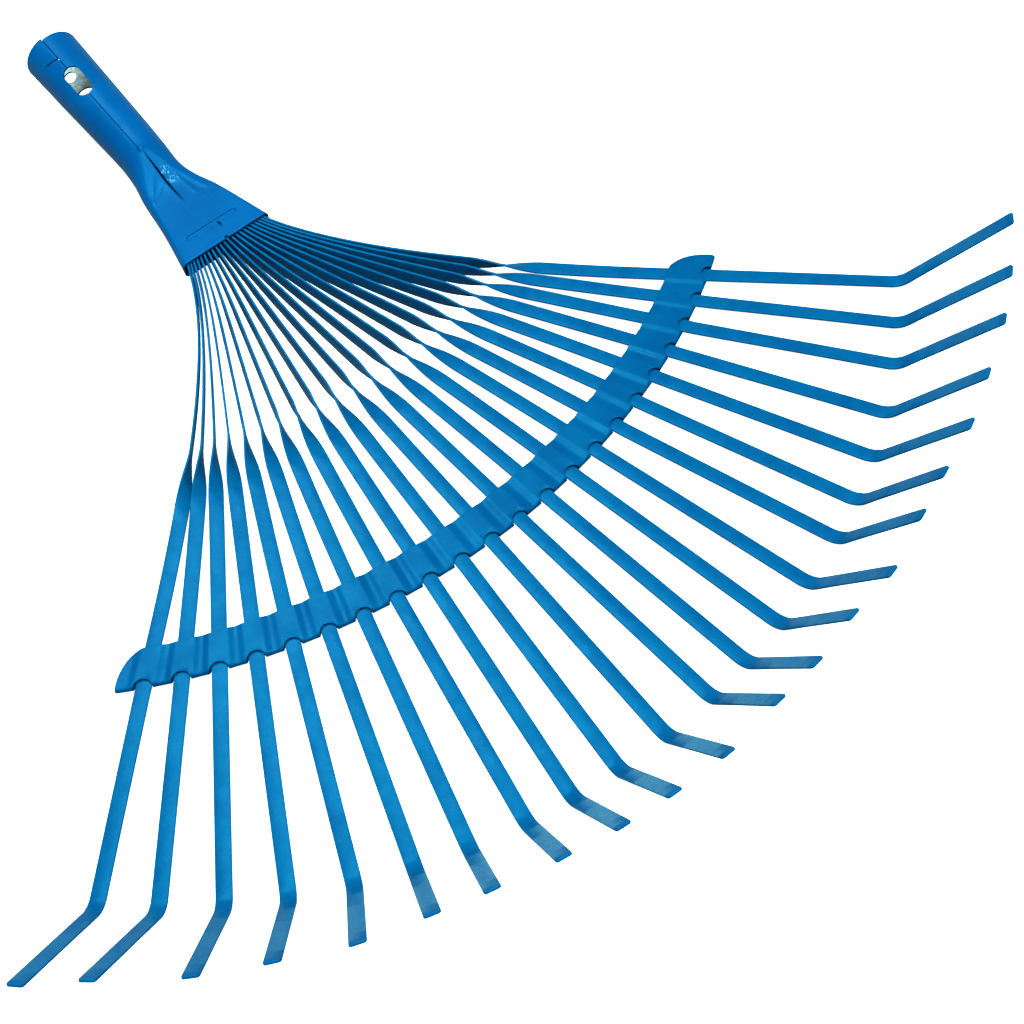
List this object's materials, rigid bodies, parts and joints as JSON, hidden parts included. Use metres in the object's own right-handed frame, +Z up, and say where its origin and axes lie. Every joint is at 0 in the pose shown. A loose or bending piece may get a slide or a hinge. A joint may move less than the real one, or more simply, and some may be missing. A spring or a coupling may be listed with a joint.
{
  "type": "fan rake head",
  "caption": "Blue steel fan rake head: rolled pole socket flattened into a clamp, twisted and hooked spring tines, folded curved spreader.",
  "frame": {"origin": "on the floor under the middle of the whole rake head's box, with the rake lying on its back", "axes": "+X across the fan, +Y from the pole socket to the tine tips, +Z up, to the side that the tine ends are hooked to"},
  "size_m": [0.466, 0.4626, 0.044],
  "materials": {
    "socket_paint": "gloss",
    "spreader_paint": "gloss",
    "tine_paint": "gloss"
  },
  "bodies": {
    "root": {"socket": "socket_paint", "spreader": "spreader_paint", "tine_01": "tine_paint", "tine_02": "tine_paint", "tine_03": "tine_paint", "tine_04": "tine_paint", "tine_05": "tine_paint", "tine_06": "tine_paint", "tine_07": "tine_paint", "tine_08": "tine_paint", "tine_09": "tine_paint", "tine_10": "tine_paint", "tine_11": "tine_paint", "tine_12": "tine_paint", "tine_13": "tine_paint", "tine_14": "tine_paint", "tine_15": "tine_paint", "tine_16": "tine_paint", "tine_17": "tine_paint", "tine_18": "tine_paint", "tine_19": "tine_paint", "tine_20": "tine_paint", "tine_21": "tine_paint", "tine_22": "tine_paint"}
  },
  "joints": []
}
